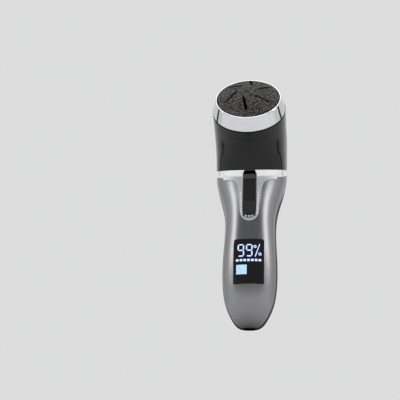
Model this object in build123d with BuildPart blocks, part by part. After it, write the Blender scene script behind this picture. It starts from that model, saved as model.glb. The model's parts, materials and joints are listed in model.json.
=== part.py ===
"""Electric callus remover: bent-neck handle, spinning abrasive dome, dust fan and rechargeable cell.

Frame: +Z up along the handle, the front (display side) faces -Y, X is across the width.
The origin is on the standing plane, in the middle of the whole object's width and depth. All sizes
are millimetres.
"""
from build123d import *
from math import copysign, cos, pi, radians, sin
import os

# ---------------------------------------------------------------- driving dimensions
WALL = 1.8                     # moulded shell thickness
SEAM = 0.2                     # gap along a seam between two fixed shells
PLAY = 0.35                    # gap round a piece that comes off or slides
SKIN = 1.0                     # depth of the soft grip and of the chrome trim
PROUD = 0.6                    # how far trim and display stand above the shell

HEAD_Y, HEAD_Z = -21.7, 153.3  # centre of the head opening
HEAD_TILT = 20.5               # degrees that the disc axis rises above horizontal
HEAD_RADIUS = 26.4             # outside of the neck at the opening
DOME_CHORD = 22.2              # radius of the abrasive dome at its rim
DOME_HEIGHT = 7.5
RING_LENGTH = 11.1
COLLAR = 5.5                   # length of the neck's front collar
RING_FRONT_RADIUS = 23.45
SHAFT_RADIUS = 1.15
RUNNING = 0.03                 # radial clearance of the shaft in its bush

CELL_RADIUS, CELL_LENGTH = 9.2, 65.0
CELL_Y, CELL_BOTTOM = 17.0, 14.0

# Stations of the body from the foot to the neck: front point (y, z) and back point (y, z) of the
# cross-section in the middle plane, its half width, and its squareness (2 is an ellipse).
STATIONS = [
    ((14.6, 0.0), (19.9, 0.0), 5.6, 2.1),
    ((11.4, 2.4), (24.2, 2.4), 9.2, 2.1),
    ((6.4, 8.0), (28.2, 8.0), 12.9, 2.2),
    ((2.5, 16.0), (29.7, 16.0), 16.4, 2.3),
    ((-0.4, 30.0), (29.9, 30.0), 18.9, 2.4),
    ((-2.5, 50.0), (29.5, 50.0), 19.1, 2.5),
    ((-3.0, 70.0), (30.5, 70.0), 18.2, 2.5),
    ((-3.0, 85.0), (32.7, 85.0), 18.9, 2.4),
    ((-3.0, 97.0), (35.5, 97.0), 21.4, 2.3),
    ((-3.4, 107.0), (37.8, 108.5), 24.2, 2.3),
    ((-5.0, 111.4), (40.1, 119.5), 25.6, 2.2),
    ((-7.5, 114.0), (41.7, 130.5), 26.0, 2.2),
    ((-10.9, 117.1), (41.8, 141.5), 26.2, 2.2),
    ((-14.8, 120.0), (40.0, 152.3), 26.3, 2.1),
    ((-18.7, 122.6), (33.8, 161.0), 26.4, 2.1),
    ((-22.7, 124.8), (21.0, 167.6), 26.4, 2.0),
    ((-26.8, 126.8), (5.0, 173.3), 26.4, 2.0),
]
HALF_STEPS = 6                 # steps from the front to the back of a section

# Seam of the rear shell in side view, from above the head to below the foot.
REAR_SEAM = [(-11.9, 184.0), (-12.0, 168.0), (-10.0, 156.3), (-3.1, 147.5), (9.3, 142.3), (20.4, 137.7),
             (25.0, 130.0), (25.1, 116.0), (18.3, 106.5), (11.6, 90.7), (8.1, 73.1), (7.1, 58.0),
             (8.4, 38.0), (12.2, 16.7), (17.4, -6.0)]
TRIM_TOP = [(-12.0, 110.0), (40.0, 137.76)]
VENT_EDGE = [(11.2, 176.0), (12.3, 166.5), (16.5, 160.4), (24.5, 156.8), (31.5, 149.8), (37.0, 146.0),
             (46.0, 142.6)]
GRIP_TOP = [(24.6, 112.8), (34.1, 120.5), (50.0, 131.5)]

# Side view of the chrome band, and front view of its stem as (half width, height).
BAND_TOP = [(-12.0, 109.8), (24.9, 129.5)]
BAND_BOTTOM = [(24.9, 124.4), (14.5, 119.2), (8.2, 115.4), (3.2, 111.9), (-1.0, 109.7), (-12.0, 106.0)]
STEM_EDGE = [(19.5, 109.4), (15.5, 108.4), (12.4, 106.7), (10.4, 104.6), (9.2, 101.5), (8.5, 95.0),
             (7.4, 86.0), (6.5, 79.0), (3.4, 74.4)]
SLOT_HALF, SLOT_FOOT, SLOT_TOP = 5.0, 75.4, 110.6
SLIDER_HALF, SLIDER_FOOT, SLIDER_TOP = 4.6, 79.4, 107.4
SLOT_FLOOR_Y = -2.2            # flat floor that the slide button runs on
SLIDER_FACE_Y = -3.8
BEAD_RADIUS = 0.62
BEADS_A_SIDE, BEAD_PITCH = 9, 2.07
BEAD_TOP, BEAD_TOP_HALF, BEAD_LEAN = 95.6, 6.3, 0.12
BEAD_FACE_Y = -3.9

DISPLAY_HALF, DISPLAY_BOTTOM, DISPLAY_TOP = 10.7, 26.4, 59.0

GROOVE_WIDTH = 0.7
GROOVES = [
    [(15.9, 95.0), (16.1, 80.0), (14.8, 62.0), (12.8, 41.0), (11.2, 32.0)],
    [(19.4, 99.5), (19.8, 84.0), (18.6, 61.0), (15.7, 37.0), (13.7, 26.5)],
    [(13.1, 82.5), (11.6, 66.0), (10.2, 45.5)],
]

VENT_PITCH = 4.6
COVER_THICK = 1.3              # of the cover over the charging socket
SOCKET_WIDE, SOCKET_HIGH, SOCKET_DEEP = 8.94, 3.26, 6.8
PORT_WIDE, PORT_HIGH = 13.0, 6.6

# Case screws run along Y; each place is (x, height).
SCREWS = [(side * half, height) for half, height in ((12.0, 95.5), (6.6, 10.4)) for side in (-1, 1)]
BOSS_RADIUS, BOSS_SPLIT_Y = 2.9, 15.5
SCREW_HEAD_Y, SCREW_TIP_Y = 20.0, 9.4
SCREW_RADIUS, SCREW_HEAD_RADIUS = 1.25, 2.2
BOARD_FRONT_Y, BOARD_THICK = 5.0, 1.2

# Distances along the disc axis are measured outwards from the head opening.
CHAMBER_FLOOR = -9.0
CHAMBER_BORE, RING_BORE = 24.35, 24.7
MOTOR_FRONT, MOTOR_BACK, MOTOR_RADIUS = -11.0, -42.0, 12.2
MOUNT_SCREW_RADIUS = 8.0       # from the motor's axis to its two screws
TERMINAL_X = 7.2
LEAD_RADIUS = 0.7
BLADES = 9
HEX_ACROSS = 7.6
RING_BACK = 0.85
GRIT_THICK = 1.5
DUST_SLOTS, SLOT_LONG, SLOT_WIDE = 6, 12.0, 2.0
SLOT_REACH, SLOT_TWIST, SLOT_START = 12.6, 20, 22

# ---------------------------------------------------------------- frames
HEAD_NORMAL = (0, -cos(radians(HEAD_TILT)), sin(radians(HEAD_TILT)))
HEAD = Plane(origin=(0, HEAD_Y, HEAD_Z), x_dir=(1, 0, 0), z_dir=HEAD_NORMAL)
PROFILE = Plane(origin=(0, HEAD_Y, HEAD_Z), x_dir=(0, sin(radians(HEAD_TILT)), cos(radians(HEAD_TILT))),
                z_dir=(1, 0, 0))    # local x is the radius from the disc axis, local y the axis
HEAD_AXIS = Axis((0, HEAD_Y, HEAD_Z), HEAD_NORMAL)
VENT = Plane(origin=(0, 26.0, 163.0), x_dir=(1, 0, 0), z_dir=(0, 0.656, 0.755))
PORT = Plane(origin=(0, 23.6, 2.6), x_dir=(1, 0, 0), z_dir=(0, 0.523, -0.852))
SIDE = Plane.YZ                # sketches in side view: local x is Y, local y is Z
FRONT = Plane.XZ               # sketches in front view: extruding goes towards -Y
REACH = 60                     # longer than any half width

os.makedirs("parts", exist_ok=True)


def save(builder, name):
    """Label a finished piece and write it as one STEP file."""
    builder.part.label = name
    export_step(builder.part, f"parts/{name}.step")


# ---------------------------------------------------------------- the body's outer form
def section_point(half_width, half_depth, squareness, turn):
    """Point of a superellipse at the given turn."""
    along = copysign(abs(cos(turn)) ** (2 / squareness), cos(turn))
    across = copysign(abs(sin(turn)) ** (2 / squareness), sin(turn))
    return (half_width * along, half_depth * across)


def opening_station(beyond):
    """Round section parallel to the head opening, the given distance out of it."""
    middle = HEAD.offset(beyond).origin
    front = middle - HEAD.y_dir * HEAD_RADIUS
    back = middle + HEAD.y_dir * HEAD_RADIUS
    return ((front.Y, front.Z), (back.Y, back.Z), HEAD_RADIUS, 2.0)


def body_form(inset, first=0):
    """Solid of the whole body with its surface moved inwards by the inset, run on past the head opening."""
    stations = STATIONS[first:] + [opening_station(0), opening_station(4)]
    turns = [pi * (k / HALF_STEPS - 0.5) for k in range(HALF_STEPS + 1)]
    with BuildPart() as form:
        for front, back, half_width, squareness in stations:
            depth = Vector(0, back[0] - front[0], back[1] - front[1])
            half_depth = depth.length / 2 - inset
            middle = (0, (front[0] + back[0]) / 2, (front[1] + back[1]) / 2)
            half = [section_point(half_width - inset, half_depth, squareness, turn) for turn in turns]
            with BuildSketch(Plane(origin=middle, x_dir=(1, 0, 0), z_dir=Vector(1, 0, 0).cross(depth))):
                with BuildLine():
                    Spline(*half, tangents=[(1, 0), (-1, 0)])
                    Line(half[-1], half[0])
                make_face()
        loft()
        mirror(about=Plane.YZ)
    return form.part


def wall_point(station, at_back):
    """Point in the middle of the shell's wall, at the front or the back of a station."""
    front, back = STATIONS[station][:2]
    start, end = (back, front) if at_back else (front, back)
    inward = Vector(0, end[0] - start[0], end[1] - start[1]).normalized()
    return Vector(0, *start) + inward * (WALL * 0.5)


outer_form = body_form(0)
inner_form = body_form(WALL, first=1)
proud_form = body_form(-PROUD)
skin_form = body_form(SKIN)
groove_form = body_form(SKIN / 2)


# ---------------------------------------------------------------- cutters
def side_line(points, width, smooth=True):
    """Thin sheet across the whole width that follows a line in side view."""
    with BuildPart() as sheet:
        with BuildSketch(SIDE):
            with BuildLine():
                if smooth:
                    Spline(*points)
                else:
                    Polyline(*points)
            trace(line_width=width)
        extrude(amount=REACH, both=True)
    return sheet.part


def side_zone(points):
    """Block across the whole width with a straight-sided outline in side view."""
    with BuildPart() as block:
        with BuildSketch(SIDE):
            with BuildLine():
                Polyline(*points, close=True)
            make_face()
        extrude(amount=REACH, both=True)
    return block.part


def turned(*outline):
    """Solid of revolution about the disc axis, from (radius, distance out of the head opening) points."""
    with BuildPart() as piece:
        with BuildSketch(PROFILE):
            with BuildLine():
                Polyline(*outline, close=True)
            make_face()
        revolve(axis=HEAD_AXIS)
    return piece.part


def common(*solids):
    """Solid shared by all the given solids."""
    with BuildPart() as shared:
        add(solids[0])
        for solid in solids[1:]:
            add(solid, mode=Mode.INTERSECT)
    return shared.part


def less(solid, *cutters):
    """Solid with the cutters taken away."""
    with BuildPart() as rest:
        add(solid)
        for cutter in cutters:
            add(cutter, mode=Mode.SUBTRACT)
    return rest.part


def piece_at(solids, point):
    """The one solid whose material holds the point."""
    return next(solid for solid in solids if solid.is_inside(point))


# ---------------------------------------------------------------- shells, cut from one wall
in_front = side_zone([(-60, 90), (25.1, 90), (25.1, 150), (-60, 150)])
below_crown = side_zone([(-60, 100), (-11.5, 100), (-11.5, 165), (-60, 165)])
collar_seam = turned((20, -COLLAR - SEAM / 2), (32, -COLLAR - SEAM / 2), (32, -COLLAR + SEAM / 2),
                     (20, -COLLAR + SEAM / 2))
seams = [
    side_line(REAR_SEAM, SEAM),
    side_line(VENT_EDGE, PLAY),
    common(side_line(TRIM_TOP, SEAM, smooth=False), in_front),
    common(collar_seam, below_crown),
]
neck_bore = turned((0, CHAMBER_FLOOR - 0.4), (CHAMBER_BORE, CHAMBER_FLOOR - 0.4), (CHAMBER_BORE, -2.7),
                   (RING_BORE, -2.7), (RING_BORE, 4), (0, 4))
with BuildPart() as wall:
    add(outer_form)
    split(bisect_by=HEAD, keep=Keep.BOTTOM)
    add(inner_form, mode=Mode.SUBTRACT)
    add(seams, mode=Mode.SUBTRACT)
wall_pieces = [less(piece, neck_bore).solid() for piece in wall.part.solids()]


def rounded_prism(half, bottom, top, corner, near_y, far_y):
    """Block with a round-cornered outline in front view, from near_y back to far_y."""
    with BuildPart() as block:
        with BuildSketch(FRONT.offset(-near_y)):
            with Locations((0, (bottom + top) / 2)):
                RectangleRounded(2 * half, top - bottom, corner)
        extrude(amount=-(far_y - near_y))
    return block.part


def slot_prism(half, foot, top, corner, near_y, far_y, neck=None):
    """Block with a round-cornered foot and a square top in front view; neck narrows its last stretch."""
    upper = [(half, top), neck, (-neck[0], neck[1]), (-half, top)] if neck else [(half, top), (-half, top)]
    with BuildPart() as block:
        with BuildSketch(FRONT.offset(-near_y)) as outline:
            with BuildLine():
                Polyline((-half, foot), (half, foot), *upper, close=True)
            make_face()
            fillet(outline.vertices().group_by(Axis.Y)[0], radius=corner)
        extrude(amount=-(far_y - near_y))
    return block.part


def stem_prism(margin):
    """Front-view block of the chrome stem, grown outwards by the margin."""
    with BuildPart() as block:
        with BuildSketch(FRONT.offset(20)):
            with BuildLine():
                right = [(x + margin, z - margin * 0.5) for x, z in STEM_EDGE]
                Spline(*right, *[(-x, z) for x, z in reversed(right)], tangents=[(-1, -0.25), (-1, 0.25)])
                Polyline((-right[0][0], right[0][1]), (-right[0][0], 114), (right[0][0], 114), right[0])
            make_face()
        extrude(amount=-28)
    return block.part


# ---------------------------------------------------------------- chrome trim and its recess
def trim_zone(margin):
    """Everything in front of and beside the body that the trim covers, grown by the margin."""
    top = [(y, z + 4 * margin) for y, z in BAND_TOP]
    band = side_zone(top + [(y, z - margin) for y, z in BAND_BOTTOM])
    stem = stem_prism(margin)
    below_neck = side_zone([top[0], top[1], (top[1][0], 60), (top[0][0], 60)])
    with BuildPart() as zone:
        add(band)
        add(stem)
        add(below_neck, mode=Mode.INTERSECT)
    return zone.part


display_zone = rounded_prism(DISPLAY_HALF, DISPLAY_BOTTOM, DISPLAY_TOP, 1.4, -12, 8)
display_opening = rounded_prism(DISPLAY_HALF - 1, DISPLAY_BOTTOM + 1, DISPLAY_TOP - 1, 1, -12, 8)
slot_zone = slot_prism(SLOT_HALF, SLOT_FOOT, SLOT_TOP, 3.8, -12, SLOT_FLOOR_Y, neck=(3.6, 113.4))
slot_through = slot_prism(SLOT_HALF, SLOT_FOOT, SLOT_TOP, 3.8, -12, 3, neck=(3.6, 113.4))
bead_places = [(side * (BEAD_TOP_HALF - k * BEAD_LEAN), BEAD_TOP - k * BEAD_PITCH)
               for side in (-1, 1) for k in range(BEADS_A_SIDE)]
bead_places += [(x, SLOT_FOOT + 1.6) for x in (-2.3, 0, 2.3)]

with BuildPart() as bezel_beads:
    with BuildSketch(FRONT.offset(-SLOT_FLOOR_Y)):
        with Locations(*bead_places):
            Circle(BEAD_RADIUS)
    extrude(amount=SLOT_FLOOR_Y - BEAD_FACE_Y)
    fillet(bezel_beads.edges().group_by(Axis.Y)[0], radius=BEAD_RADIUS * 0.8)
save(bezel_beads, "bezel_beads")

trim_skin = common(less(proud_form, skin_form), trim_zone(0))
with BuildPart() as trim_bezel:
    add(trim_skin)
    add(slot_through, mode=Mode.SUBTRACT)
    add(bezel_beads.part, mode=Mode.SUBTRACT)
save(trim_bezel, "trim_bezel")


# ---------------------------------------------------------------- display
display_skin = common(less(proud_form, skin_form), display_zone)
with BuildPart() as display_window:
    add(display_skin)
save(display_window, "display_window")

DISPLAY_FRAME = Plane(origin=(0, 1.4, 43), x_dir=(1, 0, 0), z_dir=(0, -cos(radians(5)), -sin(radians(5))))
with BuildPart() as display_module:
    with BuildSketch(DISPLAY_FRAME):
        Rectangle(18.8, 29.6)
    extrude(amount=-2.0)
    with BuildSketch(DISPLAY_FRAME.offset(-2.0)):
        with Locations((0, 10)):
            Rectangle(9, 4)
    extrude(amount=-0.8)
save(display_module, "display_module")

# ---------------------------------------------------------------- charging port at the foot
with BuildPart() as port_block:
    with BuildSketch(PORT.offset(-6)):
        RectangleRounded(PORT_WIDE, PORT_HIGH, 2.0)
    extrude(amount=12)
with BuildPart() as port_well_block:
    with BuildSketch(PORT.offset(-6)):
        RectangleRounded(PORT_WIDE + 2 * PLAY, PORT_HIGH + 2 * PLAY, 2.2)
    extrude(amount=12)
inward = -PORT.z_dir
under_cover = outer_form.moved(Location(inward * COVER_THICK))
under_well = outer_form.moved(Location(inward * (COVER_THICK + PLAY)))
port_well = less(port_well_block.part, under_well)
cover_skin = less(common(outer_form, port_block.part), under_cover)
with BuildPart() as port_cover:
    add(cover_skin)
save(port_cover, "port_cover")

with BuildPart() as usb_socket:
    with BuildSketch(PORT.offset(-2.6)):
        SlotOverall(SOCKET_WIDE, SOCKET_HIGH)
    extrude(amount=-SOCKET_DEEP)
    with BuildSketch(PORT.offset(-2.6)):
        SlotOverall(SOCKET_WIDE - 0.6, SOCKET_HIGH - 0.7)
        Rectangle(6.6, 0.7, mode=Mode.SUBTRACT)
    extrude(amount=-SOCKET_DEEP + 0.8, mode=Mode.SUBTRACT)
save(usb_socket, "usb_socket")
with BuildPart() as socket_tunnel:
    with BuildSketch(PORT.offset(2)):
        SlotOverall(SOCKET_WIDE, SOCKET_HIGH)
    extrude(amount=-SOCKET_DEEP - 4.6)

# ---------------------------------------------------------------- shells
def boss(x, z, radius, near_y, far_y):
    """Screw boss along Y, kept inside the wall's skin."""
    with BuildPart() as post:
        with BuildSketch(FRONT.offset(-near_y)):
            with Locations((x, z)):
                Circle(radius)
        extrude(amount=-(far_y - near_y))
    return common(post.part, skin_form)



def screw_holes(radius, near_y, far_y):
    """Holes at every case screw, along Y."""
    with BuildPart() as holes:
        with BuildSketch(FRONT.offset(-near_y)):
            with Locations(*SCREWS):
                Circle(radius)
        extrude(amount=-(far_y - near_y))
    return holes.part


front_wall = piece_at(wall_pieces, wall_point(6, False))
rear_wall = piece_at(wall_pieces, wall_point(6, True))
neck_wall = piece_at(wall_pieces, wall_point(13, False))
collar_wall = piece_at(wall_pieces, wall_point(16, False) - HEAD.z_dir * -1.5)
vent_wall = piece_at(wall_pieces, wall_point(14, True))

front_bosses = [boss(x, z, BOSS_RADIUS, -3, BOSS_SPLIT_Y) for x, z in SCREWS]
rear_bosses = [boss(x, z, BOSS_RADIUS, BOSS_SPLIT_Y, 40) for x, z in SCREWS]
trim_recess = less(trim_zone(PLAY / 2), skin_form)
display_recess = less(display_zone, skin_form)
slot_backing = rounded_prism(7.0, SLOT_FOOT - 2, 112.0, 1, SLOT_FLOOR_Y, SLOT_FLOOR_Y + 1.2)
slider_slit = rounded_prism(1.6, 87.3, 98.6, 0.5, -12, 6)
thread_holes = screw_holes(SCREW_RADIUS, SCREW_TIP_Y - 0.2, 18.0)
shank_holes = screw_holes(SCREW_RADIUS + 0.2, 12.0, 22.0)
head_holes = screw_holes(SCREW_HEAD_RADIUS + 0.3, SCREW_HEAD_Y, 45.0)

with BuildPart() as front_shell:
    add(front_wall)
    add(slot_backing)
    add(front_bosses)
    add([trim_recess, display_recess, display_opening, slot_zone, slider_slit], mode=Mode.SUBTRACT)
    add(bezel_beads.part, mode=Mode.SUBTRACT)
    add([thread_holes, socket_tunnel.part], mode=Mode.SUBTRACT)
save(front_shell, "front_shell")

grip_zone = side_zone([(-10, -10), (60, -10), (60, 138), *reversed(GRIP_TOP), (0, 92.9)])
grip_line = side_line(GRIP_TOP, SEAM, smooth=False)
groove_lines = [side_line(line, GROOVE_WIDTH) for line in GROOVES]
groove_cuts = [less(line, groove_form) for line in groove_lines]
grip_skin = less(common(rear_wall, grip_zone), skin_form)
with BuildPart() as grip_sleeve:
    add(grip_skin)
    add(groove_cuts, mode=Mode.SUBTRACT)
    add([grip_line, port_well, socket_tunnel.part], mode=Mode.SUBTRACT)
save(grip_sleeve, "grip_sleeve")

with BuildPart() as rear_shell:
    add(rear_wall)
    add(rear_bosses)
    add(grip_skin, mode=Mode.SUBTRACT)
    add([shank_holes, head_holes, port_well, socket_tunnel.part], mode=Mode.SUBTRACT)
save(rear_shell, "rear_shell")

with BuildPart() as neck_cover:
    add(neck_wall)
save(neck_cover, "neck_cover")

with BuildPart() as neck_collar:
    add(collar_wall)
save(neck_collar, "neck_collar")

# Louvres of the vent cover: four wide slots a side towards the back, three short ones nearer the disc.
with BuildPart() as louvres:
    with BuildSketch(VENT.offset(-14)):
        for k in range(4):
            with Locations((7.2, -4.6 + k * VENT_PITCH), (-7.2, -4.6 + k * VENT_PITCH)):
                SlotOverall(6.6, 2.2)
        for k in range(3):
            with Locations((5.4, -14.2 + k * 2.9), (-5.4, -14.2 + k * 2.9)):
                SlotOverall(4.4, 1.1)
    extrude(amount=28)
with BuildPart() as vent_cover:
    add(vent_wall)
    add(louvres.part, mode=Mode.SUBTRACT)
save(vent_cover, "vent_cover")

with BuildPart() as case_screws:
    with BuildSketch(FRONT.offset(-SCREW_TIP_Y)):
        with Locations(*SCREWS):
            Circle(SCREW_RADIUS)
    extrude(amount=-(SCREW_HEAD_Y - SCREW_TIP_Y))
    with BuildSketch(FRONT.offset(-SCREW_HEAD_Y)):
        with Locations(*SCREWS):
            Circle(SCREW_HEAD_RADIUS)
    extrude(amount=-1.6)
    with BuildSketch(FRONT.offset(-SCREW_HEAD_Y - 1.6)):
        with Locations(*SCREWS):
            Rectangle(2.6, 0.5)
            Rectangle(0.5, 2.6)
    extrude(amount=0.8, mode=Mode.SUBTRACT)
save(case_screws, "case_screws")

# ---------------------------------------------------------------- slide switch
slider_block = slot_prism(SLIDER_HALF, SLIDER_FOOT, SLIDER_TOP, 3.4, SLIDER_FACE_Y, SLOT_FLOOR_Y - 0.3)
with BuildPart() as slider_button:
    add(slider_block)
    fillet(slider_button.faces().sort_by(Axis.Y)[0].edges(), radius=0.5)
    with BuildSketch(FRONT.offset(-SLOT_FLOOR_Y + 0.3)):
        with Locations((0, 88.6), (0, 94.4)):
            Rectangle(2.2, 1.6)
    extrude(amount=-3.9)
save(slider_button, "slider_button")

with BuildPart() as switch_knob:
    with BuildSketch(FRONT.offset(-0.3)):
        with Locations((0, 91.5)):
            Rectangle(2.0, 3.0)
    extrude(amount=-2.0)
    with BuildSketch(FRONT.offset(-2.3)):
        with Locations((0, 91.5)):
            Rectangle(3.4, 4.4)
    extrude(amount=-1.0)
save(switch_knob, "switch_knob")

with BuildPart() as slide_switch:
    with BuildSketch(FRONT.offset(-1.7)):
        with Locations((0, 93)):
            Rectangle(7.6, 14.0)
    extrude(amount=-(BOARD_FRONT_Y - 1.7))
    with BuildSketch(FRONT.offset(-1.0)):
        with Locations((0, 93)):
            Rectangle(2.7, 8.4)
    extrude(amount=-3.0, mode=Mode.SUBTRACT)
    with BuildSketch(FRONT.offset(-2.0)):
        with Locations((0, 93)):
            Rectangle(4.1, 9.6)
    extrude(amount=-1.65, mode=Mode.SUBTRACT)
save(slide_switch, "slide_switch")

with BuildPart() as main_board:
    with BuildSketch(FRONT.offset(-BOARD_FRONT_Y)):
        with Locations((0, 65.5)):
            Rectangle(22, 77)
        with Locations(*SCREWS[:2]):
            Circle(BOSS_RADIUS + 0.4, mode=Mode.SUBTRACT)
    extrude(amount=-BOARD_THICK)
    with BuildSketch(FRONT.offset(-BOARD_FRONT_Y)):
        with Locations((-6, 70), (6, 70), (0, 77)):
            Rectangle(5, 5)
        with Locations((-7, 62), (7, 62)):
            Rectangle(3, 2)
    extrude(amount=1.1)
save(main_board, "main_board")

# ---------------------------------------------------------------- cell and its cradle
with BuildPart() as battery_cell:
    with BuildSketch(Plane.XY.offset(CELL_BOTTOM)):
        with Locations((0, CELL_Y)):
            Circle(CELL_RADIUS)
    extrude(amount=CELL_LENGTH)
    fillet(battery_cell.edges().filter_by(GeomType.CIRCLE), radius=0.8)
save(battery_cell, "battery_cell")

with BuildPart() as battery_contacts:
    for height in (CELL_BOTTOM - 0.9, CELL_BOTTOM + CELL_LENGTH + 0.1):
        with BuildSketch(Plane.XY.offset(height)):
            with Locations((0, CELL_Y)):
                RectangleRounded(9, 7, 1.5)
        extrude(amount=0.8)
save(battery_contacts, "battery_contacts")

with BuildPart() as battery_cradle:
    with BuildSketch(Plane.XY.offset(20)):
        with Locations((0, CELL_Y)):
            Circle(CELL_RADIUS + 1.3)
            Circle(CELL_RADIUS + 0.1, mode=Mode.SUBTRACT)
        with Locations((0, CELL_Y - 12)):
            Rectangle(30, 22, mode=Mode.SUBTRACT)
    extrude(amount=54)
    with BuildSketch(FRONT.offset(-20)):
        with Locations(*[(0, 31 + 16 * k) for k in range(3)]):
            Rectangle(30, 5)
    extrude(amount=-12, mode=Mode.SUBTRACT)
save(battery_cradle, "battery_cradle")

# ---------------------------------------------------------------- motor and fan, along the disc axis

chamber_cup = turned((10.4, CHAMBER_FLOOR), (24.2, CHAMBER_FLOOR), (24.2, -3.0), (22.8, -3.0), (22.8, -7.5),
                     (10.4, -7.5))
with BuildPart() as dust_chamber:
    add(chamber_cup)
    with BuildSketch(HEAD.offset(CHAMBER_FLOOR)):
        with Locations((0, 16.8)):
            Rectangle(17, 6)
    extrude(amount=2, mode=Mode.SUBTRACT)
save(dust_chamber, "dust_chamber")

with BuildPart() as filter_cartridge:
    with BuildSketch(HEAD.offset(CHAMBER_FLOOR)):
        with Locations((0, 17.4)):
            Rectangle(20, 8.6)
            Rectangle(17, 6, mode=Mode.SUBTRACT)
            for k in range(5):
                with Locations((-6.8 + 3.4 * k, 0)):
                    Rectangle(0.8, 6.4)
    extrude(amount=-4.0)
save(filter_cartridge, "filter_cartridge")

bracket_plate = turned((3.0, MOTOR_FRONT), (12.6, MOTOR_FRONT), (12.6, CHAMBER_FLOOR), (3.0, CHAMBER_FLOOR))
with BuildPart() as motor_bracket:
    add(bracket_plate)
    with BuildSketch(HEAD.offset(MOTOR_FRONT)):
        with Locations((MOUNT_SCREW_RADIUS, 0), (-MOUNT_SCREW_RADIUS, 0)):
            Circle(SCREW_RADIUS)
    extrude(amount=3, mode=Mode.SUBTRACT)
save(motor_bracket, "motor_bracket")

with BuildPart() as bracket_screws:
    with BuildSketch(HEAD.offset(CHAMBER_FLOOR)):
        with Locations((MOUNT_SCREW_RADIUS, 0), (-MOUNT_SCREW_RADIUS, 0)):
            Circle(SCREW_HEAD_RADIUS)
    extrude(amount=1.4)
    with BuildSketch(HEAD.offset(CHAMBER_FLOOR)):
        with Locations((MOUNT_SCREW_RADIUS, 0), (-MOUNT_SCREW_RADIUS, 0)):
            Circle(SCREW_RADIUS)
    extrude(amount=-4.5)
save(bracket_screws, "bracket_screws")

can_shell = turned((2.0, MOTOR_FRONT), (MOTOR_RADIUS, MOTOR_FRONT), (MOTOR_RADIUS, MOTOR_BACK),
                   (MOTOR_RADIUS - 1, MOTOR_BACK), (MOTOR_RADIUS - 1, MOTOR_FRONT - 1.5), (2.0, MOTOR_FRONT - 1.5))
with BuildPart() as motor_can:
    add(can_shell)
    with BuildSketch(HEAD.offset(MOTOR_FRONT)):
        with Locations((MOUNT_SCREW_RADIUS, 0), (-MOUNT_SCREW_RADIUS, 0)):
            Circle(SCREW_RADIUS)
    extrude(amount=-2, mode=Mode.SUBTRACT)
save(motor_can, "motor_can")

with BuildPart() as field_magnets:
    with BuildSketch(HEAD.offset(-37)):
        Circle(MOTOR_RADIUS - 1)
        Circle(9.3, mode=Mode.SUBTRACT)
        Rectangle(6, 30, mode=Mode.SUBTRACT)
    extrude(amount=21)
save(field_magnets, "field_magnets")

with BuildPart() as rotor:
    with BuildSketch(HEAD.offset(-35)):
        Circle(8.8)
        with PolarLocations(6.6, 5):
            SlotOverall(6.5, 1.6, mode=Mode.SUBTRACT)
        Circle(SHAFT_RADIUS, mode=Mode.SUBTRACT)
    extrude(amount=19)
save(rotor, "rotor")

with BuildPart() as commutator:
    with BuildSketch(HEAD.offset(-38.6)):
        Circle(2.8)
        Circle(SHAFT_RADIUS, mode=Mode.SUBTRACT)
    extrude(amount=3.6)
save(commutator, "commutator")

bore = SHAFT_RADIUS + RUNNING
end_cap_body = turned((bore, MOTOR_BACK - 2.2), (5.0, MOTOR_BACK - 2.2), (5.0, MOTOR_BACK),
                      (MOTOR_RADIUS - 1, MOTOR_BACK), (MOTOR_RADIUS - 1, MOTOR_BACK + 2.4), (bore, MOTOR_BACK + 2.4))
with BuildPart() as motor_end_cap:
    add(end_cap_body)
save(motor_end_cap, "motor_end_cap")

with BuildPart() as motor_terminals:
    with BuildSketch(HEAD.offset(MOTOR_BACK)):
        with Locations((TERMINAL_X, 0), (-TERMINAL_X, 0)):
            Rectangle(0.6, 3.0)
    extrude(amount=-4.0)
save(motor_terminals, "motor_terminals")

with BuildPart() as motor_shaft:
    with BuildSketch(HEAD.offset(MOTOR_BACK - 1.6)):
        Circle(SHAFT_RADIUS)
    extrude(amount=5.0 - MOTOR_BACK + 1.6)
save(motor_shaft, "motor_shaft")

bush_body = turned((bore, MOTOR_FRONT), (3.0, MOTOR_FRONT), (3.0, -7.6), (bore, -7.6))
with BuildPart() as spindle_bush:
    add(bush_body)
save(spindle_bush, "spindle_bush")

seal_body = turned((bore + 0.05, -7.6), (3.6, -7.6), (3.2, -6.5), (bore + 0.05, -6.5))
with BuildPart() as shaft_seal:
    add(seal_body)
save(shaft_seal, "shaft_seal")

with BuildPart() as impeller:
    with BuildSketch(HEAD.offset(-5.8)):
        Circle(18.5)
        Circle(SHAFT_RADIUS, mode=Mode.SUBTRACT)
    extrude(amount=1.0)
    with BuildSketch(HEAD.offset(-4.8)):
        Circle(4.2)
        with PolarLocations(11.2, BLADES):
            Rectangle(14.2, 1.0, rotation=18)
        Circle(SHAFT_RADIUS, mode=Mode.SUBTRACT)
    extrude(amount=3.6)
save(impeller, "impeller")

with BuildPart() as drive_hub:
    with BuildSketch(HEAD.offset(-1.2)):
        Circle(5.5)
    extrude(amount=4.6)
    with BuildSketch(HEAD.offset(3.4)):
        RegularPolygon(HEX_ACROSS / 2, 6, major_radius=False)
    extrude(amount=4.6)
    with BuildSketch(HEAD.offset(-1.2)):
        Circle(SHAFT_RADIUS)
    extrude(amount=6.2, mode=Mode.SUBTRACT)
    with BuildSketch(HEAD.offset(5.6)):
        Circle(2.6)
    extrude(amount=3, mode=Mode.SUBTRACT)
save(drive_hub, "drive_hub")

with BuildPart() as hub_magnet:
    with BuildSketch(HEAD.offset(5.6)):
        Circle(2.6)
    extrude(amount=2.2)
save(hub_magnet, "hub_magnet")

# ---------------------------------------------------------------- abrasive disc
DOME_BASE = RING_LENGTH + 0.3
DOME_SPHERE = (DOME_CHORD ** 2 + DOME_HEIGHT ** 2) / (2 * DOME_HEIGHT)


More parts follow.
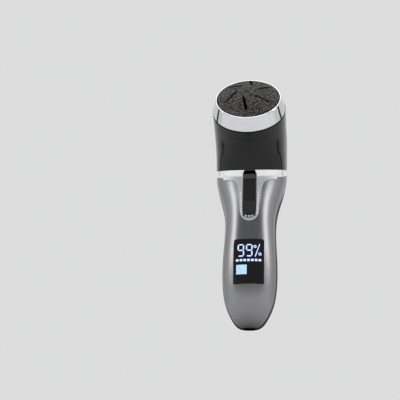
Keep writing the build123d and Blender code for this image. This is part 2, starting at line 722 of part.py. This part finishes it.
def dome(radius, rim, thinner, foot):
    """Domed disc of the given radius whose sphere is thinner than the abrasive's outer one."""
    sphere = DOME_SPHERE - thinner
    centre = DOME_BASE + DOME_HEIGHT - DOME_SPHERE
    shoulder = centre + (sphere ** 2 - radius ** 2) ** 0.5
    with BuildPart() as cap:
        with BuildSketch(PROFILE):
            with BuildLine():
                RadiusArc((radius, shoulder), (0, centre + sphere), -sphere)
                Polyline((0, centre + sphere), (0, foot), (rim, foot), (radius, shoulder))
            make_face()
        revolve(axis=HEAD_AXIS)
    return cap.part


with BuildPart() as dust_slots:
    with BuildSketch(HEAD.offset(4)):
        with PolarLocations(SLOT_REACH, DUST_SLOTS, start_angle=SLOT_START):
            SlotOverall(SLOT_LONG, SLOT_WIDE, rotation=SLOT_TWIST)
    extrude(amount=20)

grit_outer = dome(DOME_CHORD, DOME_CHORD, 0, DOME_BASE - 1.5)
grit_inner = dome(DOME_CHORD - 1.2, DOME_CHORD - 1.2, GRIT_THICK, DOME_BASE - 2.5)
with BuildPart() as abrasive_disc:
    add(grit_outer)
    add([grit_inner, dust_slots.part], mode=Mode.SUBTRACT)
save(abrasive_disc, "abrasive_disc")

with BuildPart() as disc_backing:
    add(grit_inner)
    with BuildSketch(HEAD.offset(4.2)):
        Circle(7.6)
    extrude(amount=DOME_BASE - 2.5 - 4.2)
    with BuildSketch(HEAD.offset(4.2)):
        RegularPolygon(HEX_ACROSS / 2 + PLAY, 6, major_radius=False)
    extrude(amount=4.2, mode=Mode.SUBTRACT)
    with BuildSketch(HEAD.offset(8.4)):
        Circle(3.4)
    extrude(amount=0.8, mode=Mode.SUBTRACT)
    add(dust_slots.part, mode=Mode.SUBTRACT)
save(disc_backing, "disc_backing")

with BuildPart() as keeper_plate:
    with BuildSketch(HEAD.offset(8.4)):
        Circle(3.4)
    extrude(amount=0.8)
save(keeper_plate, "keeper_plate")

# ---------------------------------------------------------------- guard ring and its seal
ring_body = turned((26.1, RING_BACK), (RING_FRONT_RADIUS + 0.15, RING_LENGTH - 0.5),
                   (RING_FRONT_RADIUS - 0.3, RING_LENGTH), (DOME_CHORD + 0.7, RING_LENGTH),
                   (DOME_CHORD + 0.4, RING_LENGTH - 0.4), (DOME_CHORD + 0.4, 8.6), (23.1, 7.4), (23.1, -2.4),
                   (24.25, -2.4), (24.25, RING_BACK))
with BuildPart() as guard_ring:
    add(ring_body)
save(guard_ring, "guard_ring")

ring_seal_body = turned((24.75, 0), (25.9, 0), (25.9, 0.5), (24.75, 0.5))
with BuildPart() as ring_seal:
    add(ring_seal_body)
save(ring_seal, "ring_seal")

# ---------------------------------------------------------------- motor leads
terminal_end = HEAD.offset(MOTOR_BACK - 4.5).origin
with BuildPart() as motor_leads:
    for side in (-1, 1):
        x = side * TERMINAL_X
        with BuildLine() as route:
            FilletPolyline((x, terminal_end.Y, terminal_end.Z), (x, 26.2, 131.0), (x, 21.0, 117.0), (x, 5.6, 107.5),
                           (x, 5.6, 104.0), radius=3.0)
        with BuildSketch(Plane(origin=route.line @ 0, z_dir=route.line % 0)):
            Circle(LEAD_RADIUS)
        sweep(path=route.line)
save(motor_leads, "motor_leads")
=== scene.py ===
"""Studio picture of the electric callus remover: materials, fine surface detail, stage, lights and camera.

All lengths are metres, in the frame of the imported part: +Z up, the front faces -Y, X across the width.
"""

import json
import math

import bpy
from mathutils import Matrix, Vector


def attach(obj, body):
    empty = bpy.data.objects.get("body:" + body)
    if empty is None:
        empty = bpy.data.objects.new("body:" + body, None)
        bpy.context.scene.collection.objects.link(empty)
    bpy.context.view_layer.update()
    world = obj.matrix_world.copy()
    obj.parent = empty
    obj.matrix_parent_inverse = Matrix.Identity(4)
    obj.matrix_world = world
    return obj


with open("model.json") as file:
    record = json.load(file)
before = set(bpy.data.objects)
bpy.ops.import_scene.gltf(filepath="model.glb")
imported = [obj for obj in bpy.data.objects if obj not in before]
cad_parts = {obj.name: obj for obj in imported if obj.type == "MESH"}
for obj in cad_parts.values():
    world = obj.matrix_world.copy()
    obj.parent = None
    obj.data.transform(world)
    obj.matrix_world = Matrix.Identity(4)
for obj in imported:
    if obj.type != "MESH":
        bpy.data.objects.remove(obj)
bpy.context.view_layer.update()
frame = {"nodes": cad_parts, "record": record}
NODES = frame["nodes"]


# ---------------------------------------------------------------- driving numbers
# Display: two digits, then a percent sign of two small rings with a slash between them.
DIGIT_CENTRES = (-0.0054, 0.0004)
DIGIT_Z = 0.0503
DIGIT_HALF_WIDE, DIGIT_HALF_HIGH = 0.00185, 0.0042
STROKE = 0.00044               # half the width of a lit stroke
STROKE_FILL = 0.9              # share of a digit's side that its stroke covers
RING_PLACES = ((0.0044, 0.0531), (0.0078, 0.0476))
RING_OUTER, RING_INNER, RING_PARTS = 0.0011, 0.00055, 10
SLASH_X, SLASH_WIDE, SLASH_HIGH = 0.0061, 0.0028, 0.0086
SLASH_STEPS, SLASH_BAR = 12, (0.0003, 0.00042)

# Display: the row of level bars and the small lit panel, made of strips side by side.
LEVELS, LEVEL_START, LEVEL_PITCH, LEVEL_Z = 7, -0.0078, 0.0026, 0.0431
LEVEL_BAR = (0.0009, 0.0008)   # half width, half height
PANEL_STRIPS, PANEL_START, PANEL_PITCH, PANEL_Z = 6, -0.00785, 0.0012, 0.0364
PANEL_STRIP = (0.00061, 0.0034)
DISPLAY_PROUD = 0.00007        # how far the lit shapes stand off the glass
RAY_START_Y = -0.08            # in front of every part of the object

# Grip dots on the lower end of the slide button.
DOT_PITCH, DOT_RADIUS = 0.00105, 0.00024
DOT_ROWS, DOT_FOOT_Z, DOT_LIMIT_X = 9, 0.0810, 0.0037
ROW_SPACING = 0.87             # of the pitch, so that the dots nest
DOT_RINGS, DOT_SIDES = 3, 8

# Fine surface detail: noise scales, and the depth of the relief that they make.
TONE_SCALE, GRAIN_SCALE, FLAKE_SCALE, GRIT_SCALE, GLOW_SCALE, FLOOR_SCALE = 60, 4000, 5200, 2000, 900, 3
GRAIN_DEPTH, FLAKE_DEPTH, GRIT_DEPTH = 0.00005, 0.00003, 0.0003

# Stage and light.
FLOOR_SIZE = 12.0
FLOOR_Z = -0.0002
DARK_SIDE = Vector((0, -0.88, 0.47))
LIGHT_AIM = Vector((0, 0, 0.1))
SIDES = (("left", -1), ("right", 1))
SIDE_BOX, SIDE_BOX_WIDE, SIDE_BOX_HIGH, SIDE_BOX_POWER = (2.6, -1.5, 2.0), 1.2, 2.4, 30
TOP_BOX, TOP_BOX_WIDE, TOP_BOX_HIGH, TOP_BOX_POWER = (0, -0.8, 3.2), 2.0, 1.6, 28
FLAG_X, FLAG_Y, FLAG_FOOT_Z, FLAG_WIDE, FLAG_HIGH = 1.35, 0.66, 0.02, 0.15, 1.6

CAMERA_PLACE = Vector((0.0425, -0.611, -0.246))
CAMERA_PITCH, CAMERA_YAW, CAMERA_ROLL = math.radians(28.78), math.radians(7.3), math.radians(2.5)
CAMERA_LENS, SENSOR_WIDTH = 88.0, 36.0


# ---------------------------------------------------------------- materials
def material(name, colour, rough, metal=0.0, specular=0.5, coat=0.0):
    """A Principled material; returns it with its node tree and shader."""
    mat = bpy.data.materials.new(name)
    mat.use_nodes = True
    tree = mat.node_tree
    shader = tree.nodes["Principled BSDF"]
    shader.inputs["Base Color"].default_value = (*colour, 1)
    shader.inputs["Roughness"].default_value = rough
    shader.inputs["Metallic"].default_value = metal
    shader.inputs["Specular IOR Level"].default_value = specular
    shader.inputs["Coat Weight"].default_value = coat
    shader.inputs["Coat Roughness"].default_value = 0.05
    return mat, tree, shader


def noise(tree, scale, detail=2.0):
    """Noise in object coordinates."""
    coords = tree.nodes.new("ShaderNodeTexCoord")
    texture = tree.nodes.new("ShaderNodeTexNoise")
    texture.inputs["Scale"].default_value = scale
    texture.inputs["Detail"].default_value = detail
    tree.links.new(coords.outputs["Object"], texture.inputs["Vector"])
    return texture.outputs["Fac"]


def spread(tree, value, low, high):
    """Maps the middle of a noise value's range onto another range."""
    node = tree.nodes.new("ShaderNodeMapRange")
    node.inputs["From Min"].default_value = 0.3
    node.inputs["From Max"].default_value = 0.7
    node.inputs["To Min"].default_value = low
    node.inputs["To Max"].default_value = high
    tree.links.new(value, node.inputs["Value"])
    return node.outputs["Result"]


def tint(tree, shader, value, dark, light, start=0.3, end=0.7):
    """Drives the base colour between two tones."""
    ramp = tree.nodes.new("ShaderNodeValToRGB")
    first, last = ramp.color_ramp.elements
    first.position, first.color = start, (*dark, 1)
    last.position, last.color = end, (*light, 1)
    tree.links.new(value, ramp.inputs["Fac"])
    tree.links.new(ramp.outputs["Color"], shader.inputs["Base Color"])


def bump(tree, shader, value, strength, distance):
    """Small relief from a value."""
    node = tree.nodes.new("ShaderNodeBump")
    node.inputs["Strength"].default_value = strength
    node.inputs["Distance"].default_value = distance
    tree.links.new(value, node.inputs["Height"])
    tree.links.new(node.outputs["Normal"], shader.inputs["Normal"])


def worn(name, colour, rough, spread_by=0.15, grain=0.0, **looks):
    """A material whose tone and roughness vary a little, with an optional fine grain."""
    mat, tree, shader = material(name, colour, rough, **looks)
    broad = noise(tree, TONE_SCALE)
    dark = [c * (1 - spread_by) for c in colour]
    light = [c * (1 + spread_by) for c in colour]
    tint(tree, shader, broad, dark, light)
    uneven = spread(tree, broad, rough * 0.88, min(1, rough * 1.12))
    tree.links.new(uneven, shader.inputs["Roughness"])
    if grain:
        bump(tree, shader, noise(tree, GRAIN_SCALE, detail=1), grain, GRAIN_DEPTH)
    return mat


def sparkle(name, colour, rough, metal):
    """Metallic paint: satin with a very fine flake."""
    mat, tree, shader = material(name, colour, rough, metal)
    flake = noise(tree, FLAKE_SCALE, detail=1)
    tint(tree, shader, flake, [c * 0.72 for c in colour], [min(1, c * 1.3) for c in colour])
    bump(tree, shader, flake, 0.06, FLAKE_DEPTH)
    return mat


def grit(name, dark, light):
    """Bonded abrasive: dark grains with paler ones among them."""
    mat, tree, shader = material(name, dark, 0.75, specular=0.35)
    coords = tree.nodes.new("ShaderNodeTexCoord")
    grains = tree.nodes.new("ShaderNodeTexVoronoi")
    grains.inputs["Scale"].default_value = GRIT_SCALE
    tree.links.new(coords.outputs["Object"], grains.inputs["Vector"])
    one_value = tree.nodes.new("ShaderNodeSeparateColor")
    tree.links.new(grains.outputs["Color"], one_value.inputs["Color"])
    tint(tree, shader, one_value.outputs["Red"], dark, light, start=0.55, end=1.0)
    bump(tree, shader, grains.outputs["Distance"], 0.5, GRIT_DEPTH)
    return mat


def glow(name, colour, strength):
    """A lit display shape with a slight unevenness."""
    mat, tree, shader = material(name, colour, 0.4)
    cells = noise(tree, GLOW_SCALE)
    tint(tree, shader, cells, [c * 0.9 for c in colour], colour)
    shader.inputs["Emission Color"].default_value = (*colour, 1)
    uneven = spread(tree, cells, strength * 0.85, strength * 1.1)
    tree.links.new(uneven, shader.inputs["Emission Strength"])
    return mat


LOOKS = {
    "shell_silver": sparkle("satin_silver", (0.30, 0.30, 0.305), 0.32, 0.9),
    "shell_dark": worn("satin_grey", (0.034, 0.036, 0.038), 0.42, 0.1, grain=0.12),
    "soft_grip": worn("soft_rubber", (0.018, 0.019, 0.020), 0.6, 0.12, grain=0.35),
    "gloss_black": worn("piano_black", (0.004, 0.004, 0.0045), 0.17, 0.1, specular=0.28, coat=0.12),
    "chrome_trim": worn("bright_chrome", (0.72, 0.725, 0.73), 0.08, 0.02, metal=1.0),
    "display_glass": worn("black_glass", (0.003, 0.003, 0.0035), 0.06, 0.1, coat=1.0),
    "black_plastic": worn("moulded_black", (0.012, 0.012, 0.013), 0.42, 0.15, grain=0.15),
    "abrasive_grit": grit("bonded_grit", (0.012, 0.0115, 0.0115), (0.21, 0.2, 0.195)),
    "seal_rubber": worn("seal_rubber", (0.012, 0.012, 0.012), 0.7, 0.15, grain=0.2),
    "steel_parts": worn("plated_steel", (0.55, 0.56, 0.57), 0.28, 0.06, metal=1.0),
    "brass_parts": worn("brass", (0.72, 0.52, 0.24), 0.25, 0.06, metal=1.0),
    "board_green": worn("solder_mask", (0.02, 0.13, 0.06), 0.3, 0.15),
    "cell_wrap": worn("cell_wrap", (0.03, 0.12, 0.32), 0.3, 0.1),
    "winding_copper": worn("winding_copper", (0.5, 0.2, 0.09), 0.35, 0.15, metal=0.8),
    "filter_white": worn("filter_white", (0.7, 0.7, 0.67), 0.6, 0.06, grain=0.2),
}

SLOT_OF = {part["node"]: part["material_slot"] for part in frame["record"]["subparts"]}
for node_name, node in NODES.items():
    node.data.materials.clear()
    node.data.materials.append(LOOKS[SLOT_OF[node_name]])

# The trim and its beads are brighter and less mirror-like than the guard ring.
POLISHED = worn("polished_trim", (0.93, 0.935, 0.94), 0.1, 0.02, metal=0.5, coat=0.8)
for node_name in ("trim_bezel", "bezel_beads"):
    NODES[node_name].data.materials[0] = POLISHED


# ---------------------------------------------------------------- small pieces laid on the CAD surfaces
def surface_y(node, x, z):
    """Y of the node's front surface at the given x and height."""
    _, place, _, _ = NODES[node].ray_cast(Vector((x, RAY_START_Y, z)), Vector((0, 1, 0)))
    return place.y


def mesh_object(name, verts, faces, look):
    """A new mesh object with one material."""
    mesh = bpy.data.meshes.new(name)
    mesh.from_pydata(verts, [], faces)
    mesh.materials.append(look)
    made = bpy.data.objects.new(name, mesh)
    bpy.context.collection.objects.link(made)
    return made


def laid_on_display(name, outlines, look):
    """Thin flat shapes that follow the display's glass; each outline is a loop of (x, height) points."""
    verts, faces = [], []
    for outline in outlines:
        start = len(verts)
        verts += [(x, surface_y("display_window", x, z) - DISPLAY_PROUD, z) for x, z in outline]
        faces.append(list(range(start, start + len(outline)))[::-1])
    return mesh_object(name, verts, faces, look)


def bar(x, z, half_x, half_z):
    """Outline of a bar, split across its width so that it follows a curved face."""
    steps = 4
    lower = [(x - half_x + 2 * half_x * k / steps, z - half_z) for k in range(steps + 1)]
    upper = [(x + half_x - 2 * half_x * k / steps, z + half_z) for k in range(steps + 1)]
    return lower + upper


def level_stroke(x, z, half_long):
    """Outline of one level stroke of a seven-segment digit, pointed at both ends."""
    left, right = x - half_long, x + half_long
    return [(left, z), (left + STROKE, z - STROKE), (x, z - STROKE), (right - STROKE, z - STROKE),
            (right, z), (right - STROKE, z + STROKE), (x, z + STROKE), (left + STROKE, z + STROKE)]


def upright_stroke(x, z, half_long):
    """Outline of one upright stroke of a seven-segment digit, pointed at both ends."""
    foot, top = z - half_long, z + half_long
    return [(x, foot), (x + STROKE, foot + STROKE), (x + STROKE, top - STROKE), (x, top),
            (x - STROKE, top - STROKE), (x - STROKE, foot + STROKE)]


def nine(x, z):
    """Strokes of a 9 centred at the point."""
    quarter = DIGIT_HALF_HIGH / 2
    left, right = x - DIGIT_HALF_WIDE, x + DIGIT_HALF_WIDE
    heights = (z + DIGIT_HALF_HIGH, z, z - DIGIT_HALF_HIGH)
    uprights = ((left, z + quarter), (right, z + quarter), (right, z - quarter))
    return ([level_stroke(x, height, DIGIT_HALF_WIDE * STROKE_FILL) for height in heights]
            + [upright_stroke(side, middle, quarter * STROKE_FILL) for side, middle in uprights])


def small_ring(x, z):
    """Small ring of the percent sign, as quads."""
    quads = []
    for k in range(RING_PARTS):
        ends = [2 * math.pi * k / RING_PARTS, 2 * math.pi * (k + 1) / RING_PARTS]
        corners = [(RING_OUTER, ends[0]), (RING_INNER, ends[0]), (RING_INNER, ends[1]), (RING_OUTER, ends[1])]
        quads.append([(x + radius * math.cos(turn), z + radius * math.sin(turn)) for radius, turn in corners])
    return quads


def slash():
    """The percent sign's slash, as a stair of short bars."""
    shares = [k / SLASH_STEPS - 0.5 for k in range(SLASH_STEPS + 1)]
    places = [(SLASH_X + SLASH_WIDE * share, DIGIT_Z + SLASH_HIGH * share) for share in shares]
    return [bar(x, z, *SLASH_BAR) for x, z in places]


LIT_WHITE = glow("lit_white", (0.50, 0.62, 1.0), 0.85)
LIT_BLUE = glow("lit_blue", (0.42, 0.62, 0.82), 0.55)

digits = [stroke for x in DIGIT_CENTRES for stroke in nine(x, DIGIT_Z)]
digits += [quad for x, z in RING_PLACES for quad in small_ring(x, z)]
digits += slash()
display_digits = laid_on_display("display_digits", digits, LIT_WHITE)

level_bars = [bar(LEVEL_START + LEVEL_PITCH * k, LEVEL_Z, *LEVEL_BAR) for k in range(LEVELS)]
display_levels = laid_on_display("display_levels", level_bars, LIT_WHITE)

panel_bars = [bar(PANEL_START + PANEL_PITCH * k, PANEL_Z, *PANEL_STRIP) for k in range(PANEL_STRIPS)]
display_panel = laid_on_display("display_panel", panel_bars, LIT_BLUE)

for piece in (display_digits, display_levels, display_panel):
    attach(piece, "root")


def dot_places():
    """Staggered rows of (x, height) on the lower end of the slide button, narrower at the foot."""
    places = []
    for row in range(DOT_ROWS):
        half_count = 3 if row > 1 else row + 1
        shift = 0.5 * (row % 2)
        for k in range(-half_count, half_count + 1):
            x = (k + shift) * DOT_PITCH
            if abs(x) < DOT_LIMIT_X:
                places.append((x, DOT_FOOT_Z + row * DOT_PITCH * ROW_SPACING))
    return places


def half_ball(x, y, z, start):
    """Vertices and faces of a half ball that bulges towards -Y; start is the number of its first vertex."""
    verts, faces = [], []
    for ring in range(DOT_RINGS):
        tilt = math.pi / 2 * ring / DOT_RINGS
        for k in range(DOT_SIDES):
            turn = 2 * math.pi * k / DOT_SIDES
            verts.append((x + DOT_RADIUS * math.cos(tilt) * math.cos(turn), y - DOT_RADIUS * math.sin(tilt),
                          z + DOT_RADIUS * math.cos(tilt) * math.sin(turn)))
    verts.append((x, y - DOT_RADIUS, z))
    for ring in range(DOT_RINGS - 1):
        for k in range(DOT_SIDES):
            a = start + ring * DOT_SIDES + k
            b = start + ring * DOT_SIDES + (k + 1) % DOT_SIDES
            faces.append((a, b, b + DOT_SIDES, a + DOT_SIDES))
    last_ring = start + (DOT_RINGS - 1) * DOT_SIDES
    for k in range(DOT_SIDES):
        faces.append((last_ring + k, last_ring + (k + 1) % DOT_SIDES, last_ring + DOT_SIDES))
    return verts, faces


dot_verts, dot_faces = [], []
for x, z in dot_places():
    verts, faces = half_ball(x, surface_y("slider_button", x, z), z, len(dot_verts))
    dot_verts += verts
    dot_faces += faces
DOT_GREY = worn("slider_dot_grey", (0.10, 0.10, 0.105), 0.4, 0.15)
slider_dots = mesh_object("slider_dots", dot_verts, dot_faces, DOT_GREY)
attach(slider_dots, "slider")

# ---------------------------------------------------------------- stage
bpy.ops.mesh.primitive_grid_add(x_subdivisions=8, y_subdivisions=8, size=FLOOR_SIZE, location=(0, 0, FLOOR_Z))
floor = bpy.context.object
floor.name = "floor"
floor_look, floor_tree, floor_shader = material("pale_floor", (0.88, 0.88, 0.88), 0.6, specular=0.2)
tint(floor_tree, floor_shader, noise(floor_tree, FLOOR_SCALE), (0.87, 0.87, 0.87), (0.89, 0.89, 0.89))
# Seen from underneath, the floor is clear, so that the picture can be taken from below standing height.
geometry = floor_tree.nodes.new("ShaderNodeNewGeometry")
clear = floor_tree.nodes.new("ShaderNodeBsdfTransparent")
one_sided = floor_tree.nodes.new("ShaderNodeMixShader")
floor_tree.links.new(geometry.outputs["Backfacing"], one_sided.inputs["Fac"])
floor_tree.links.new(floor_shader.outputs["BSDF"], one_sided.inputs[1])
floor_tree.links.new(clear.outputs["BSDF"], one_sided.inputs[2])
floor_tree.links.new(one_sided.outputs["Shader"], floor_tree.nodes["Material Output"].inputs["Surface"])
floor.data.materials.append(floor_look)

# A pale room with a darker side behind the camera, as in a product studio.
world = bpy.data.worlds.new("studio")
bpy.context.scene.world = world
world.use_nodes = True
sky = world.node_tree
background = sky.nodes["Background"]
sky_coords = sky.nodes.new("ShaderNodeTexCoord")
facing = sky.nodes.new("ShaderNodeVectorMath")
facing.operation = "DOT_PRODUCT"
facing.inputs[1].default_value = DARK_SIDE
sky.links.new(sky_coords.outputs["Generated"], facing.inputs[0])
sky_ramp = sky.nodes.new("ShaderNodeValToRGB")
sky_ramp.color_ramp.interpolation = "EASE"
pale, dark = sky_ramp.color_ramp.elements
pale.position, pale.color = 0.3, (0.72, 0.72, 0.725, 1)
dark.position, dark.color = 0.85, (0.16, 0.162, 0.165, 1)
sky.links.new(facing.outputs["Value"], sky_ramp.inputs["Fac"])
sky.links.new(sky_ramp.outputs["Color"], background.inputs["Color"])
background.inputs["Strength"].default_value = 1.0


# ---------------------------------------------------------------- light
def softbox(name, place, width, height, power):
    """A soft area light aimed at the object, which isn't seen by the camera."""
    data = bpy.data.lights.new(name, "AREA")
    data.shape = "RECTANGLE"
    data.size, data.size_y, data.energy = width, height, power
    lamp = bpy.data.objects.new(name, data)
    lamp.location = place
    lamp.rotation_euler = (LIGHT_AIM - Vector(place)).to_track_quat("-Z", "Y").to_euler()
    lamp.visible_camera = False
    bpy.context.collection.objects.link(lamp)


def dark_flag(name, x, y):
    """An upright black card that only shows as a dark bar in polished surfaces."""
    across = Vector((-y, x, 0)).normalized() * (FLAG_WIDE / 2)
    foot = Vector((x, y, FLAG_FOOT_Z))
    rise = Vector((0, 0, FLAG_HIGH))
    corners = [foot - across, foot + across, foot + across + rise, foot - across + rise]
    card = mesh_object(name, corners, [(0, 1, 2, 3)], FLAG_BLACK)
    card.visible_camera = False
    card.visible_diffuse = False
    card.visible_shadow = False


side_box_x, side_box_y, side_box_z = SIDE_BOX
for side, sign in SIDES:
    place = (sign * side_box_x, side_box_y, side_box_z)
    softbox(f"softbox_{side}", place, SIDE_BOX_WIDE, SIDE_BOX_HIGH, SIDE_BOX_POWER)
softbox("softbox_top", TOP_BOX, TOP_BOX_WIDE, TOP_BOX_HIGH, TOP_BOX_POWER)

FLAG_BLACK = worn("flag_black", (0.004, 0.004, 0.004), 0.9, 0.1)
for side, sign in SIDES:
    dark_flag(f"flag_{side}", sign * FLAG_X, FLAG_Y)

# ---------------------------------------------------------------- camera
camera_data = bpy.data.cameras.new("camera")
camera_data.sensor_width = SENSOR_WIDTH
camera_data.lens = CAMERA_LENS
camera_data.clip_start, camera_data.clip_end = 0.01, 60
camera = bpy.data.objects.new("camera", camera_data)
camera.location = CAMERA_PLACE
yaw = Matrix.Rotation(CAMERA_YAW, 3, "Z")
pitch = Matrix.Rotation(math.radians(90) + CAMERA_PITCH, 3, "X")
roll = Matrix.Rotation(CAMERA_ROLL, 3, "Z")
camera.rotation_euler = (yaw @ pitch @ roll).to_euler()
bpy.context.collection.objects.link(camera)
bpy.context.scene.camera = camera
bpy.context.scene.view_settings.view_transform = "Standard"
